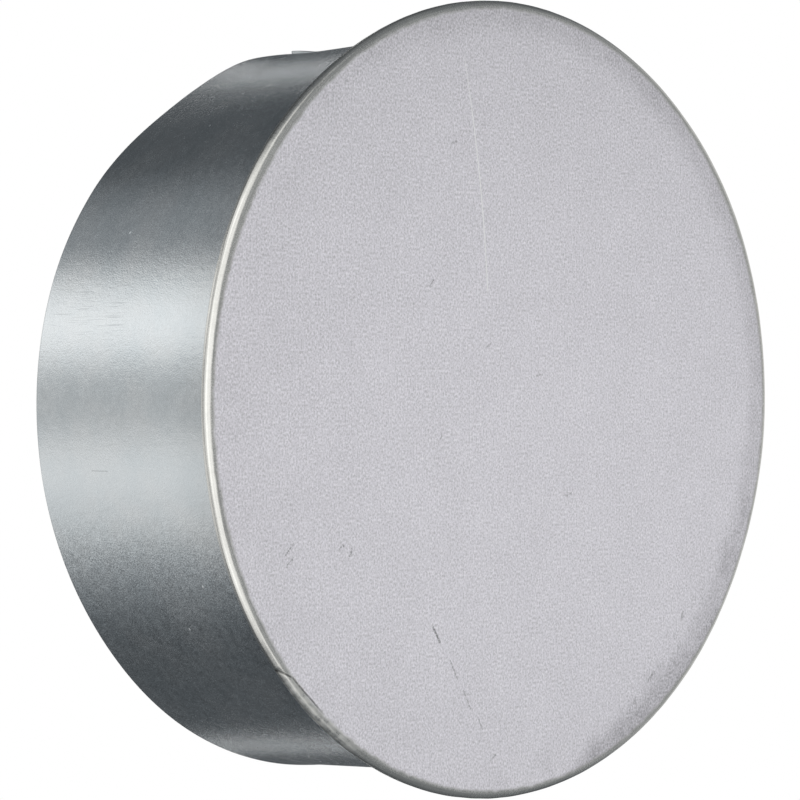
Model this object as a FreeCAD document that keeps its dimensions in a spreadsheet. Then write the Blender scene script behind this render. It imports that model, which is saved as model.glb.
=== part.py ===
import FreeCAD, Part
import math
import os

import Sketcher

# Sheet-metal end cap for a round pipe or duct of nominal size 125, in millimetres.
# The axis of the cap is Y. The seat plane, which the pipe's end stops against, is Y = 0.
# The disc's front faces -Y, the collar's open end faces +Y, and +Z is up.
# The collar is a rolled strip whose ends lap at the top.

SIZES = {
    "gauge": 0.6,  # thickness of the galvanised sheet of both pieces
    "rim_radius": 66.0,  # outside of the folded rim
    "collar_radius": 62.0,  # outside of the collar, which slides into the pipe
    "cap_depth": 47.3,  # front face to the collar's free edge
    "seam_slack": 0.2,  # spring-back left inside the folded seam
    "bend_radius": 0.6,  # inside radius of the bend from collar to flange
    "flange_radius": 64.9,  # edge of the collar's flange, inside the fold
    "lip_radius": 63.1,  # inner edge of the lip that the disc folds behind the flange
    "neck_length": 4.5,  # unlapped length of the collar beside the seat plane
    "notch": 0.6,  # between the neck and the outer layer of the lap
    "lap_angle": 0.0,  # middle of the lap, from +Z towards +X
    "lap_width": 12.0,
    "lap_rise": 0.2,  # outer layer, proud of the collar
    "lap_gap": 0.05,  # between the two layers
    "lap_curve": 70.0,  # outside radius of the lap: rolling leaves a strip's ends a little flatter
    "joggle": 1.2,  # width in which the sheet steps into or out of the lap
    "weld_radius": 2.5,
    "weld_pitch": 15.0,
    "weld_count": 3,
    "weld_dimple": 0.05,  # depth of the electrode marks at both ends of a weld
}

ORIGIN = (-1, 1)
X_AXIS = -1
Y_AXIS = -2
START, END, CENTRE = 1, 2, 3
HALF_ROOT = math.sqrt(0.5)

# Expressions that more than one feature reads
SEAM = "(3 * sizes.gauge + sizes.seam_slack)"
FREE_EDGE = f"(sizes.cap_depth - {SEAM})"
LAP_CENTRE = "(sizes.collar_radius + sizes.lap_rise - sizes.lap_curve)"
FIRST_WELD = (
    f"(sizes.neck_length + {FREE_EDGE} - sizes.weld_pitch * (sizes.weld_count - 1)) / 2"
)

# The same values as numbers, for drawing each sketch near its solved shape
gauge = SIZES["gauge"]
collar = SIZES["collar_radius"]
seam = 3 * gauge + SIZES["seam_slack"]
free_edge = SIZES["cap_depth"] - seam
lap_centre = collar + SIZES["lap_rise"] - SIZES["lap_curve"]

os.makedirs("parts", exist_ok=True)
doc = FreeCAD.newDocument("pipe_cap")


def make_sheet():
    """The spreadsheet that every feature reads."""
    sheet = doc.addObject("Spreadsheet::Sheet", "sizes")
    for row, (alias, value) in enumerate(SIZES.items(), start=1):
        sheet.set(f"A{row}", alias)
        sheet.set(f"B{row}", str(value))
        sheet.setAlias(f"B{row}", alias)
    doc.recompute()


# Helpers for sketches and features


def origin_feature(body, role):
    """A body's own plane or axis, such as XY_Plane."""
    return next(f for f in body.Origin.OriginFeatures if f.Role == role)


def new_sketch(body, plane, name):
    """A sketch on one of the body's own planes."""
    sketch = body.newObject("Sketcher::SketchObject", name)
    sketch.AttachmentSupport = [(origin_feature(body, plane), "")]
    sketch.MapMode = "FlatFace"
    return sketch


def turn_sketch(sketch, axis, angle):
    """Turns a sketch about an axis of its plane, by an angle given as an expression."""
    sketch.AttachmentOffset = FreeCAD.Placement(FreeCAD.Vector(), FreeCAD.Rotation(axis, 1.0))
    sketch.setExpression(".AttachmentOffset.Rotation.Angle", f"{angle} * 1 deg")


def line(sketch, start, end):
    """Adds a line and returns its number."""
    segment = Part.LineSegment(FreeCAD.Vector(*start, 0), FreeCAD.Vector(*end, 0))
    return sketch.addGeometry(segment, False)


def arc(sketch, start, middle, end):
    """Adds an arc through three points and returns its number."""
    points = [FreeCAD.Vector(x, y, 0) for x, y in (start, middle, end)]
    return sketch.addGeometry(Part.Arc(*points), False)


def lap_arc(sketch, height, radius, start_x, end_x):
    """Adds an anticlockwise arc centred on the sketch's Y axis, between two points above its centre."""
    circle = Part.Circle(FreeCAD.Vector(0, height, 0), FreeCAD.Vector(0, 0, 1), radius)
    start_angle, end_angle = (math.acos(x / radius) for x in (start_x, end_x))
    return sketch.addGeometry(Part.ArcOfCircle(circle, start_angle, end_angle), False)


def top_of(height, radius, x):
    """The point at x on the upper half of a circle centred on the sketch's Y axis."""
    return x, height + math.sqrt(radius**2 - x**2)


def constrain(sketch, kind, *where):
    """Adds a constraint that has no size."""
    sketch.addConstraint(Sketcher.Constraint(kind, *where))


def join_ends(sketch, *edges):
    """Joins each line's end to the next line's start."""
    for first, second in zip(edges, edges[1:]):
        constrain(sketch, "Coincident", first, END, second, START)


def join_tangent(sketch, straight, end, curve, point):
    """Joins an end of a line to whichever end of an arc lies at a point, tangent to it."""
    start = sketch.getPoint(curve, START)
    at_start = start.distanceToPoint(FreeCAD.Vector(*point, 0)) < 1e-6
    constrain(sketch, "Tangent", straight, end, curve, START if at_start else END)


def size(sketch, kind, where, value, name, expression):
    """Adds a named dimension and binds it to the spreadsheet."""
    index = sketch.addConstraint(Sketcher.Constraint(kind, *where, value))
    sketch.renameConstraint(index, name)
    sketch.setExpression(f"Constraints.{name}", expression)


def revolve(body, sketch, name):
    """Turns a sketch all the way round the Y axis."""
    feature = body.newObject("PartDesign::Revolution", name)
    feature.Profile = sketch
    feature.ReferenceAxis = (sketch, ["V_Axis"])
    feature.Angle = 360.0
    body.Tip = feature


def pad_from_free_edge(body, sketch, name, end):
    """Pads a cross-section from the collar's free edge back to a Y position."""
    sketch.setExpression(".AttachmentOffset.Base.z", f"-{FREE_EDGE}")
    feature = body.newObject("PartDesign::Pad", name)
    feature.Profile = sketch
    feature.setExpression("Length", f"{FREE_EDGE} - {end}")
    body.Tip = feature


def repeat_welds(body, feature, name):
    """Repeats a weld's feature along the lap, once for each weld."""
    doc.recompute()
    pattern = body.newObject("PartDesign::LinearPattern", name)
    pattern.Originals = [feature]
    pattern.Direction = (origin_feature(body, "Y_Axis"), [""])
    pattern.setExpression("Occurrences", "sizes.weld_count")
    pattern.setExpression("Length", "sizes.weld_pitch * (sizes.weld_count - 1)")
    body.Tip = pattern


# The pieces


def make_end_disc():
    """The disc: a flat sheet whose edge folds through a half turn round the collar's flange."""
    body = doc.addObject("PartDesign::Body", "end_disc")
    lip = SIZES["lip_radius"]
    fold = SIZES["rim_radius"] - seam / 2
    bulge = seam / 2 - gauge
    sketch = new_sketch(body, "XY_Plane", "disc_profile")
    front = line(sketch, (0, -seam), (fold, -seam))
    outside = arc(sketch, (fold, -seam), (SIZES["rim_radius"], -seam / 2), (fold, 0))
    back = line(sketch, (fold, 0), (lip, 0))
    edge = line(sketch, (lip, 0), (lip, -gauge))
    lip_front = line(sketch, (lip, -gauge), (fold, -gauge))
    inside = arc(sketch, (fold, -gauge), (fold + bulge, -seam / 2), (fold, gauge - seam))
    plate_back = line(sketch, (fold, gauge - seam), (0, gauge - seam))
    centre = line(sketch, (0, gauge - seam), (0, -seam))
    join_ends(sketch, back, edge, lip_front)
    join_ends(sketch, plate_back, centre, front)
    join_tangent(sketch, front, END, outside, (fold, -seam))
    join_tangent(sketch, back, START, outside, (fold, 0))
    join_tangent(sketch, lip_front, END, inside, (fold, -gauge))
    join_tangent(sketch, plate_back, START, inside, (fold, gauge - seam))
    for flat in (front, back, lip_front, plate_back):
        constrain(sketch, "Horizontal", flat)
    for upright in (edge, centre):
        constrain(sketch, "Vertical", upright)
    constrain(sketch, "Vertical", outside, CENTRE, inside, CENTRE)
    constrain(sketch, "PointOnObject", centre, START, Y_AXIS)
    constrain(sketch, "PointOnObject", back, END, X_AXIS)
    fold_at = f"sizes.rim_radius - {SEAM} / 2"
    size(sketch, "DistanceX", (*ORIGIN, outside, CENTRE), fold, "fold", fold_at)
    size(sketch, "DistanceX", (*ORIGIN, edge, START), lip, "lip", "sizes.lip_radius")
    size(sketch, "DistanceY", (front, START, *ORIGIN), seam, "seam", SEAM)
    size(sketch, "DistanceY", (front, START, plate_back, END), gauge, "plate", "sizes.gauge")
    size(sketch, "DistanceY", (edge, END, edge, START), gauge, "lip_sheet", "sizes.gauge")
    revolve(body, sketch, "folded_disc")
    return body


def make_flange(body):
    """The collar's flange, its bend and the short neck that no lap crosses, as one ring."""
    inner = collar - gauge
    bend = SIZES["bend_radius"]
    outer_bend = bend + gauge
    tip = SIZES["flange_radius"]
    neck = SIZES["neck_length"]
    front_y = gauge - seam
    back_y = front_y + gauge
    turn_r = collar + bend
    turn_y = back_y + bend
    sketch = new_sketch(body, "XY_Plane", "flange_profile")
    front = line(sketch, (tip, front_y), (turn_r, front_y))
    on_convex = (turn_r - outer_bend * HALF_ROOT, turn_y - outer_bend * HALF_ROOT)
    convex = arc(sketch, (turn_r, front_y), on_convex, (inner, turn_y))
    inside = line(sketch, (inner, turn_y), (inner, neck))
    top = line(sketch, (inner, neck), (collar, neck))
    outside = line(sketch, (collar, neck), (collar, turn_y))
    on_concave = (turn_r - bend * HALF_ROOT, turn_y - bend * HALF_ROOT)
    concave = arc(sketch, (collar, turn_y), on_concave, (turn_r, back_y))
    back = line(sketch, (turn_r, back_y), (tip, back_y))
    edge = line(sketch, (tip, back_y), (tip, front_y))
    join_ends(sketch, inside, top, outside)
    join_ends(sketch, back, edge, front)
    join_tangent(sketch, front, END, convex, (turn_r, front_y))
    join_tangent(sketch, inside, START, convex, (inner, turn_y))
    join_tangent(sketch, outside, END, concave, (collar, turn_y))
    join_tangent(sketch, back, START, concave, (turn_r, back_y))
    for flat in (front, back, top):
        constrain(sketch, "Horizontal", flat)
    for upright in (inside, outside, edge):
        constrain(sketch, "Vertical", upright)
    constrain(sketch, "Coincident", convex, CENTRE, concave, CENTRE)
    size(sketch, "DistanceX", (*ORIGIN, outside, START), collar, "collar", "sizes.collar_radius")
    size(sketch, "DistanceX", (*ORIGIN, edge, START), tip, "tip", "sizes.flange_radius")
    size(sketch, "DistanceX", (outside, END, back, START), bend, "bend", "sizes.bend_radius")
    size(sketch, "DistanceY", (edge, END, edge, START), gauge, "sheet", "sizes.gauge")
    size(sketch, "DistanceY", (*ORIGIN, top, START), neck, "neck", "sizes.neck_length")
    seat = f"{SEAM} - sizes.gauge"
    size(sketch, "DistanceY", (front, START, *ORIGIN), -front_y, "seat", seat)
    revolve(body, sketch, "flange")


def lapped_pair(sketch, height, radius, radius_at, height_at, start, end, name):
    """The outer and inner face of a stretch of the strip, as two arcs about one centre.

    start and end are (x, expression) pairs. The arcs run anticlockwise, from start to end."""
    outer = lap_arc(sketch, height, radius, start[0], end[0])
    inner = lap_arc(sketch, height, radius - gauge, start[0], end[0])
    constrain(sketch, "Coincident", outer, CENTRE, inner, CENTRE)
    if height_at is None:
        constrain(sketch, "Coincident", outer, CENTRE, *ORIGIN)
    else:
        constrain(sketch, "PointOnObject", outer, CENTRE, Y_AXIS)
        size(sketch, "DistanceY", (outer, CENTRE, *ORIGIN), -height, name + "_centre", height_at)
    size(sketch, "Radius", (outer,), radius, name + "_outer", radius_at)
    size(sketch, "Radius", (inner,), radius - gauge, name + "_inner", f"{radius_at} - sizes.gauge")
    for vertex, (x, x_at), which in ((START, start, "_start"), (END, end, "_end")):
        constrain(sketch, "Vertical", outer, vertex, inner, vertex)
        place_x(sketch, outer, vertex, x, x_at, name + which)
    return outer, inner


def place_x(sketch, edge, vertex, x, expression, name):
    """Holds a point at a distance from the sketch's Y axis, on the side that it was drawn on."""
    if x > 0:
        size(sketch, "DistanceX", (*ORIGIN, edge, vertex), x, name, expression)
    else:
        size(sketch, "DistanceX", (edge, vertex, *ORIGIN), -x, name, expression)


def make_wall(body):
    """The rolled wall with its inner end, which steps down and runs on under the outer layer."""
    half = SIZES["lap_width"] / 2
    joggle = SIZES["joggle"]
    under = SIZES["lap_curve"] - gauge - SIZES["lap_gap"]
    wall_start = (-half - 2 * joggle, "sizes.lap_width / 2 + 2 * sizes.joggle")
    wall_end = (half + joggle, "sizes.lap_width / 2 + sizes.joggle")
    inner_start = (half - joggle, "sizes.lap_width / 2 - sizes.joggle")
    inner_end = (-half - joggle, "sizes.lap_width / 2 + sizes.joggle")
    under_at = "sizes.lap_curve - sizes.gauge - sizes.lap_gap"
    sketch = new_sketch(body, "XZ_Plane", "wall_section")
    turn_sketch(sketch, FreeCAD.Vector(0, 0, 1), "-sizes.lap_angle")
    wall = lapped_pair(
        sketch, 0, collar, "sizes.collar_radius", None, wall_start, wall_end, "wall"
    )
    inner = lapped_pair(
        sketch, lap_centre, under, under_at, f"-{LAP_CENTRE}", inner_start, inner_end, "layer"
    )
    for wall_arc, inner_arc, wall_radius, inner_radius in (
        (wall[0], inner[0], collar, under),
        (wall[1], inner[1], collar - gauge, under - gauge),
    ):
        step = line(
            sketch,
            top_of(lap_centre, inner_radius, inner_end[0]),
            top_of(0, wall_radius, wall_start[0]),
        )
        constrain(sketch, "Coincident", step, START, inner_arc, END)
        constrain(sketch, "Coincident", step, END, wall_arc, START)
    close_end(sketch, wall, END, (0, collar), wall_end[0])
    close_end(sketch, inner, START, (lap_centre, under), inner_start[0])
    pad_from_free_edge(body, sketch, "wall", "sizes.bend_radius")


def close_end(sketch, pair, vertex, circle, x):
    """Closes a stretch of the strip with a straight cut from its outer face to its inner face."""
    height, radius = circle
    cut = line(sketch, top_of(height, radius, x), top_of(height, radius - gauge, x))
    constrain(sketch, "Coincident", cut, START, pair[0], vertex)
    constrain(sketch, "Coincident", cut, END, pair[1], vertex)


def make_outer_layer(body):
    """The strip's outer end: it steps up from the wall and runs over the inner layer to a cut edge."""
    half = SIZES["lap_width"] / 2
    step_x = half + SIZES["joggle"]
    curve = SIZES["lap_curve"]
    sketch = new_sketch(body, "XZ_Plane", "outer_layer_section")
    turn_sketch(sketch, FreeCAD.Vector(0, 0, 1), "-sizes.lap_angle")
    layer = lapped_pair(
        sketch,
        lap_centre,
        curve,
        "sizes.lap_curve",
        f"-{LAP_CENTRE}",
        (half, "sizes.lap_width / 2"),
        (-half, "sizes.lap_width / 2"),
        "layer",
    )
    close_end(sketch, layer, END, (lap_centre, curve), -half)
    steps = []
    for layer_arc, wall_radius, layer_radius in (
        (layer[0], collar, curve),
        (layer[1], collar - gauge, curve - gauge),
    ):
        foot = top_of(0, wall_radius, step_x)
        step = line(sketch, top_of(lap_centre, layer_radius, half), foot)
        constrain(sketch, "Coincident", step, START, layer_arc, START)
        steps.append(step)
    cut = line(sketch, top_of(0, collar, step_x), top_of(0, collar - gauge, step_x))
    constrain(sketch, "Coincident", cut, START, steps[0], END)
    constrain(sketch, "Coincident", cut, END, steps[1], END)
    constrain(sketch, "Vertical", cut)
    place_x(sketch, cut, START, step_x, "sizes.lap_width / 2 + sizes.joggle", "step")
    for vertex, radius, radius_at, name in (
        (START, collar, "sizes.collar_radius", "step_outer"),
        (END, collar - gauge, "(sizes.collar_radius - sizes.gauge)", "step_inner"),
    ):
        height = top_of(0, radius, step_x)[1]
        height_at = f"sqrt({radius_at} ^ 2 - (sizes.lap_width / 2 + sizes.joggle) ^ 2)"
        size(sketch, "DistanceY", (*ORIGIN, cut, vertex), height, name, height_at)
    pad_from_free_edge(body, sketch, "outer_layer", "(sizes.neck_length + sizes.notch)")


def weld_circle(body, name):
    """The first weld's outline, in the plane through the cap's axis that faces the middle of the lap."""
    sketch = new_sketch(body, "XY_Plane", name)
    turn_sketch(sketch, FreeCAD.Vector(0, 1, 0), "sizes.lap_angle")
    first = (SIZES["neck_length"] + free_edge - SIZES["weld_pitch"] * (SIZES["weld_count"] - 1)) / 2
    circle = Part.Circle(
        FreeCAD.Vector(0, first, 0), FreeCAD.Vector(0, 0, 1), SIZES["weld_radius"]
    )
    ring = sketch.addGeometry(circle, False)
    constrain(sketch, "PointOnObject", ring, CENTRE, Y_AXIS)
    size(sketch, "DistanceY", (*ORIGIN, ring, CENTRE), first, "first_weld", FIRST_WELD)
    size(sketch, "Radius", (ring,), SIZES["weld_radius"], "weld", "sizes.weld_radius")
    return sketch


def make_collar():
    """The collar: a rolled strip with a flange at the disc, its ends lapped over each other."""
    body = doc.addObject("PartDesign::Body", "collar")
    make_flange(body)
    make_wall(body)
    make_outer_layer(body)
    hole = body.newObject("PartDesign::Pocket", "first_weld_hole")
    hole.Profile = weld_circle(body, "weld_hole_outline")
    hole.Reversed = True
    hole.setExpression("Length", "sizes.rim_radius")
    body.Tip = hole
    repeat_welds(body, hole, "weld_holes")
    return body


def make_welds():
    """The spot welds that join the two layers of the lap, as separate nuggets."""
    body = doc.addObject("PartDesign::Body", "lap_spot_welds")
    body.AllowCompound = True
    sketch = weld_circle(body, "weld_outline")
    height = "(2 * sizes.gauge + sizes.lap_gap - 2 * sizes.weld_dimple)"
    bottom = f"(sizes.collar_radius + sizes.lap_rise - sizes.weld_dimple - {height})"
    sketch.setExpression(".AttachmentOffset.Base.x", f"{bottom} * sin(sizes.lap_angle * 1 deg)")
    sketch.setExpression(".AttachmentOffset.Base.z", f"{bottom} * cos(sizes.lap_angle * 1 deg)")
    nugget = body.newObject("PartDesign::Pad", "first_weld")
    nugget.Profile = sketch
    nugget.setExpression("Length", height)
    body.Tip = nugget
    repeat_welds(body, nugget, "welds")
    return body


def check_and_write(bodies):
    """Recomputes, stops at any faulty object, and writes one STEP file for each piece."""
    doc.recompute()
    for item in doc.Objects:
        if "Invalid" in item.State or "Error" in item.State:
            raise RuntimeError(f"{item.Name} is {item.State}")
        if item.isDerivedFrom("Sketcher::SketchObject") and item.solve() != 0:
            raise RuntimeError(f"{item.Name} doesn't solve")
    for body in bodies:
        body.Label = body.Name
        body.Placement = FreeCAD.Placement()
        shape = body.Shape
        if not shape.isValid():
            raise RuntimeError(f"{body.Label} has a faulty shape")
        print(body.Label, "solids", len(shape.Solids), "volume", round(shape.Volume, 3))
        shape.exportStep(f"parts/{body.Label}.step")


make_sheet()
check_and_write([make_end_disc(), make_collar(), make_welds()])
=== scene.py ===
"""Looks of the galvanised end cap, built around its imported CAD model.

Everything is in the row frame: the cap's axis is +Y, its disc faces -Y and +Z is up.
Shapes are worked out in millimetres and turned into metres where a mesh is made.
An angle round the axis is counted from +Z towards -X, so 90 degrees is the -X side.
"""

import math

import bmesh
import bpy
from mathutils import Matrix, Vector, noise


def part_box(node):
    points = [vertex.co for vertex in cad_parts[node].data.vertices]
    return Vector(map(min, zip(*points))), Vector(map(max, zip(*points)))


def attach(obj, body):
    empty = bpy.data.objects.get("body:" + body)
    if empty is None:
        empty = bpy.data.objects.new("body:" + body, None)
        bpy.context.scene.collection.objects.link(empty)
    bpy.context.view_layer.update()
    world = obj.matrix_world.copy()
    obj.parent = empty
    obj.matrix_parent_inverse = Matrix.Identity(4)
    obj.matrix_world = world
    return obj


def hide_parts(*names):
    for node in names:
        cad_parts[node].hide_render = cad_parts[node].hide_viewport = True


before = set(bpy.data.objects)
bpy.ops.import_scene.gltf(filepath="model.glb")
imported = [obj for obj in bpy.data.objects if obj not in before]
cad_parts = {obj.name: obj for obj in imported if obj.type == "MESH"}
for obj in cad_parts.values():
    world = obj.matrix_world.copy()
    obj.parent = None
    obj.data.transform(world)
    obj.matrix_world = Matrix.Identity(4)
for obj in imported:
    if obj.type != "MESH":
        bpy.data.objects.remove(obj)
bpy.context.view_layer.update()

MM = 0.001

disc_low, disc_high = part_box("end_disc")
_, collar_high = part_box("collar")

# Sizes in millimetres that the CAD model fixes.
GAUGE = 0.6
FRONT = disc_low.y / MM
RIM_RADIUS = disc_high.x / MM
FREE_EDGE = collar_high.y / MM
COLLAR_RADIUS = 62.0
FLANGE_RADIUS = 64.9
LIP_RADIUS = 63.1
FOLD_RADIUS = 1.0
FOLD_CENTRE = RIM_RADIUS - FOLD_RADIUS
BEND_CENTRE = COLLAR_RADIUS + GAUGE
BEND_START = -0.2
DISC_BACK = FRONT + GAUGE
NECK_END = 4.5
NOTCH_END = 5.1
LAP_HALF = 6.0
INNER_LAYER_END = 4.8
JOGGLE = 1.2
OUTER_LAYER_TOP = 62.2
INNER_LAYER_TOP = 61.55
WELD_RADIUS = 2.5
WELD_PLACES = (9.9, 24.9, 39.9)
WELD_TOP = 62.15
WELD_BOTTOM = 61.0

# Small departures from the drawing that a real pressed part has, in millimetres and degrees.
FACE_SINK = 0.03
ROLL_START = 64.2
ROLL_SLOPE = 12.0
FOLD_SIZE = 0.93
COLLAR_DROP = 1.9
CREST_SINK = 0.75
SHOULDER_SINK = 0.45
FOOT_RISE = 0.28
CORNER_LIFT = 0.35
CORNER_LIFT_LENGTH = 8.0
WELD_DIMPLE = 0.14
KNOCK_DEPTH = 0.06
KNOCK_WIDTH = 0.3


def smoothstep(low, high, value):
    """0 below low, 1 above high and a soft step between them."""
    share = min(1.0, max(0.0, (value - low) / (high - low)))
    return share * share * (3.0 - 2.0 * share)


def hump(low, middle, high, value):
    """A soft hump: 0 below low, 1 at the middle and 0 above high."""
    return smoothstep(low, middle, value) * smoothstep(high, middle, value)


def ring_noise(angle, frequency, seed):
    """Smooth noise from -1 to 1 that closes on itself round the axis."""
    return noise.noise(Vector((frequency * math.cos(angle), frequency * math.sin(angle), seed)))


def around(radius, angle, along):
    """The point at that radius and angle round the axis, in millimetres."""
    return Vector((-radius * math.sin(angle), along, radius * math.cos(angle)))


def angle_steps(base_step, fine_spans):
    """Angles in degrees for a full turn, closer together inside each (start, end, step) span."""
    angles = []
    angle = 0.0
    while angle < 360.0 - 1e-6:
        angles.append(angle)
        step = base_step
        limit = 360.0
        for start, end, fine_step in fine_spans:
            if start - 1e-6 <= angle < end - 1e-6:
                step = min(step, fine_step)
            elif angle < start:
                limit = min(limit, start)
        angle = min(angle + step, limit)
    return [math.radians(a) for a in angles]


def arc(centre_radius, centre_along, size, start, end, count):
    """(radius, along) points on an arc. 0 degrees points to the front, 90 away from the axis."""
    points = []
    for i in range(count + 1):
        turn = math.radians(start + (end - start) * i / count)
        points.append((centre_radius + size * math.sin(turn), centre_along - size * math.cos(turn)))
    return points


def spaced(start, end, step):
    """Values from start to end, about a step apart, without the last one."""
    count = max(1, round(abs(end - start) / step))
    return [start + (end - start) * i / count for i in range(count)]


def finish_mesh(name, points, faces, material, sharp_degrees=38.0):
    """Makes the object from points in millimetres, with outward normals and crisp cut edges."""
    mesh = bpy.data.meshes.new(name)
    mesh.from_pydata([tuple(p * MM) for p in points], [], faces)
    work = bmesh.new()
    work.from_mesh(mesh)
    bmesh.ops.recalc_face_normals(work, faces=work.faces)
    work.to_mesh(mesh)
    work.free()
    mesh.polygons.foreach_set("use_smooth", [True] * len(mesh.polygons))
    mesh.set_sharp_from_angle(angle=math.radians(sharp_degrees))
    mesh.materials.append(material)
    piece = bpy.data.objects.new(name, mesh)
    bpy.context.scene.collection.objects.link(piece)
    return piece


def ring_faces(row_count, ring_size, close_rows):
    """Quads between neighbouring rings of points, each ring closed on itself."""
    faces = []
    for row in range(row_count if close_rows else row_count - 1):
        following = (row + 1) % row_count
        for i in range(ring_size):
            j = (i + 1) % ring_size
            a, b = row * ring_size, following * ring_size
            faces.append((a + i, b + i, b + j, a + j))
    return faces


# ---------------------------------------------------------------- shader helpers


class Graph:
    """Short calls that add shader nodes to one tree."""

    def __init__(self, tree):
        self.tree = tree
        self.tree.nodes.clear()

    def put(self, socket, value):
        if isinstance(value, bpy.types.NodeSocket):
            self.tree.links.new(value, socket)
        else:
            socket.default_value = value

    def add(self, kind, inputs=None, **settings):
        node = self.tree.nodes.new(kind)
        for key, value in settings.items():
            setattr(node, key, value)
        for key, value in (inputs or {}).items():
            self.put(node.inputs[key], value)
        return node

    def math(self, operation, *values, clamp=False):
        node = self.add("ShaderNodeMath", operation=operation, use_clamp=clamp)
        for index, value in enumerate(values):
            self.put(node.inputs[index], value)
        return node.outputs[0]

    def total(self, *values):
        result = values[0]
        for value in values[1:]:
            result = self.math("ADD", result, value)
        return result

    def product(self, *values):
        result = values[0]
        for value in values[1:]:
            result = self.math("MULTIPLY", result, value)
        return result

    def remap(self, value, low, high, new_low=0.0, new_high=1.0, kind="SMOOTHSTEP"):
        inputs = {
            "Value": value,
            "From Min": low,
            "From Max": high,
            "To Min": new_low,
            "To Max": new_high,
        }
        return self.add("ShaderNodeMapRange", inputs, interpolation_type=kind).outputs[0]

    def dot(self, vector, direction):
        inputs = {0: vector, 1: tuple(direction)}
        return self.add("ShaderNodeVectorMath", inputs, operation="DOT_PRODUCT").outputs["Value"]

    def length(self, vector):
        return self.add("ShaderNodeVectorMath", {0: vector}, operation="LENGTH").outputs["Value"]

    def stretch(self, vector, scale):
        return self.add("ShaderNodeMapping", {"Vector": vector, "Scale": scale}).outputs[0]

    def grain(self, vector, scale, detail=2.0, rough=0.5):
        inputs = {"Vector": vector, "Scale": scale, "Detail": detail, "Roughness": rough}
        return self.add("ShaderNodeTexNoise", inputs).outputs["Fac"]

    def signed_grain(self, vector, scale, detail, rough, spread=0.2):
        """Noise from -1 to 1. The spread is how far from its middle the raw noise is cut off."""
        raw = self.grain(vector, scale, detail, rough)
        return self.remap(raw, 0.5 - spread, 0.5 + spread, -1.0, 1.0, "LINEAR")

    def blend(self, factor, first, second):
        node = self.add("ShaderNodeMix", data_type="RGBA")
        self.put(node.inputs[0], factor)
        self.put(node.inputs[6], first)
        self.put(node.inputs[7], second)
        return node.outputs[2]

    def tint(self, colour, factor):
        """The colour made lighter or darker by a factor near 1."""
        node = self.add("ShaderNodeVectorMath", operation="SCALE")
        self.put(node.inputs[0], colour if isinstance(colour, bpy.types.NodeSocket) else colour[:3])
        self.put(node.inputs["Scale"], factor)
        return node.outputs[0]

    def position(self):
        """Object coordinates in millimetres."""
        place = self.add("ShaderNodeTexCoord").outputs["Object"]
        return self.stretch(place, (1 / MM, 1 / MM, 1 / MM))

    def split(self, vector):
        """The x, y and z of a vector."""
        return self.add("ShaderNodeSeparateXYZ", {0: vector}).outputs[:3]

    def turn(self, x, z):
        """The angle round the axis, in radians from -pi to pi."""
        return self.math("ARCTAN2", self.math("MULTIPLY", x, -1.0), z)

    def sector(self, turn, rise_start, rise_end, fall_start, fall_end):
        """1 between two angles round the axis and 0 outside them, with soft ends. Degrees."""
        return self.product(
            self.remap(turn, math.radians(rise_start), math.radians(rise_end)),
            self.remap(turn, math.radians(fall_end), math.radians(fall_start)),
        )

    def stroke(self, u, v, middle, length, tilt, width):
        """A soft-edged stroke in the u, v plane: 1 on its line and 0 beyond its width."""
        lean = math.radians(tilt)
        du = self.math("SUBTRACT", u, middle[0])
        dv = self.math("SUBTRACT", v, middle[1])
        far_u = self.math("MULTIPLY", du, math.cos(lean))
        along = self.math("MULTIPLY_ADD", dv, math.sin(lean), far_u)
        far_v = self.math("MULTIPLY", dv, math.cos(lean))
        across = self.math("MULTIPLY_ADD", du, -math.sin(lean), far_v)
        beyond = self.math("SUBTRACT", self.math("ABSOLUTE", along), length / 2)
        beyond = self.math("MAXIMUM", beyond, 0.0)
        squares = self.total(self.product(beyond, beyond), self.product(across, across))
        reach = self.math("SQRT", squares)
        return self.remap(reach, width, width * 0.25)


def metal_output(graph, base, metallic, roughness, bump_height, bump_strength, bump_distance):
    """Ends a material: one Principled shader with its bump."""
    bump = graph.add(
        "ShaderNodeBump",
        {"Height": bump_height, "Strength": bump_strength, "Distance": bump_distance},
    )
    surface = {
        "Base Color": base,
        "Metallic": metallic,
        "Roughness": roughness,
        "Normal": bump.outputs[0],
    }
    shader = graph.add("ShaderNodeBsdfPrincipled", surface)
    output = graph.add("ShaderNodeOutputMaterial")
    graph.put(output.inputs["Surface"], shader.outputs[0])


def new_material(name):
    material = bpy.data.materials.new(name)
    material.use_nodes = True
    return material, Graph(material.node_tree)


# ---------------------------------------------------------------- materials

# Colours of the collar's zinc, which drifts between two, and of the disc and the welds.
ZINC_DARK = (0.610, 0.655, 0.680, 1.0)
ZINC_PALE = (0.645, 0.675, 0.692, 1.0)
FACE_COLOUR = (0.828, 0.813, 0.865, 1.0)
SCRATCH_COLOUR = (0.96, 0.96, 0.97, 1.0)
RIM_COLOUR = (0.655, 0.655, 0.630, 1.0)
BACK_COLOUR = (0.600, 0.630, 0.655, 1.0)
WELD_COLOUR = (0.42, 0.42, 0.43, 1.0)
HEATED_COLOUR = (0.33, 0.31, 0.29, 1.0)

# Noise of the zinc coating: cells per millimetre, octaves, roughness and spread.
FINE_GRAIN = (3.2, 2.0, 0.6, 0.25)
GRIT_GRAIN = (3.8, 2.5, 0.6, 0.25)
PATCH_GRAIN = (0.7, 3.0, 0.6, 0.2)
BROAD_GRAIN = (0.09, 3.0, 0.55, 0.2)

# Small light dots on the collar: angle in degrees and distance along the axis.
LIGHT_DOTS = ((42.6, 26.2), (64.0, 29.2), (118.0, 12.0), (126.0, 20.5), (108.0, 38.0))


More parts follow.
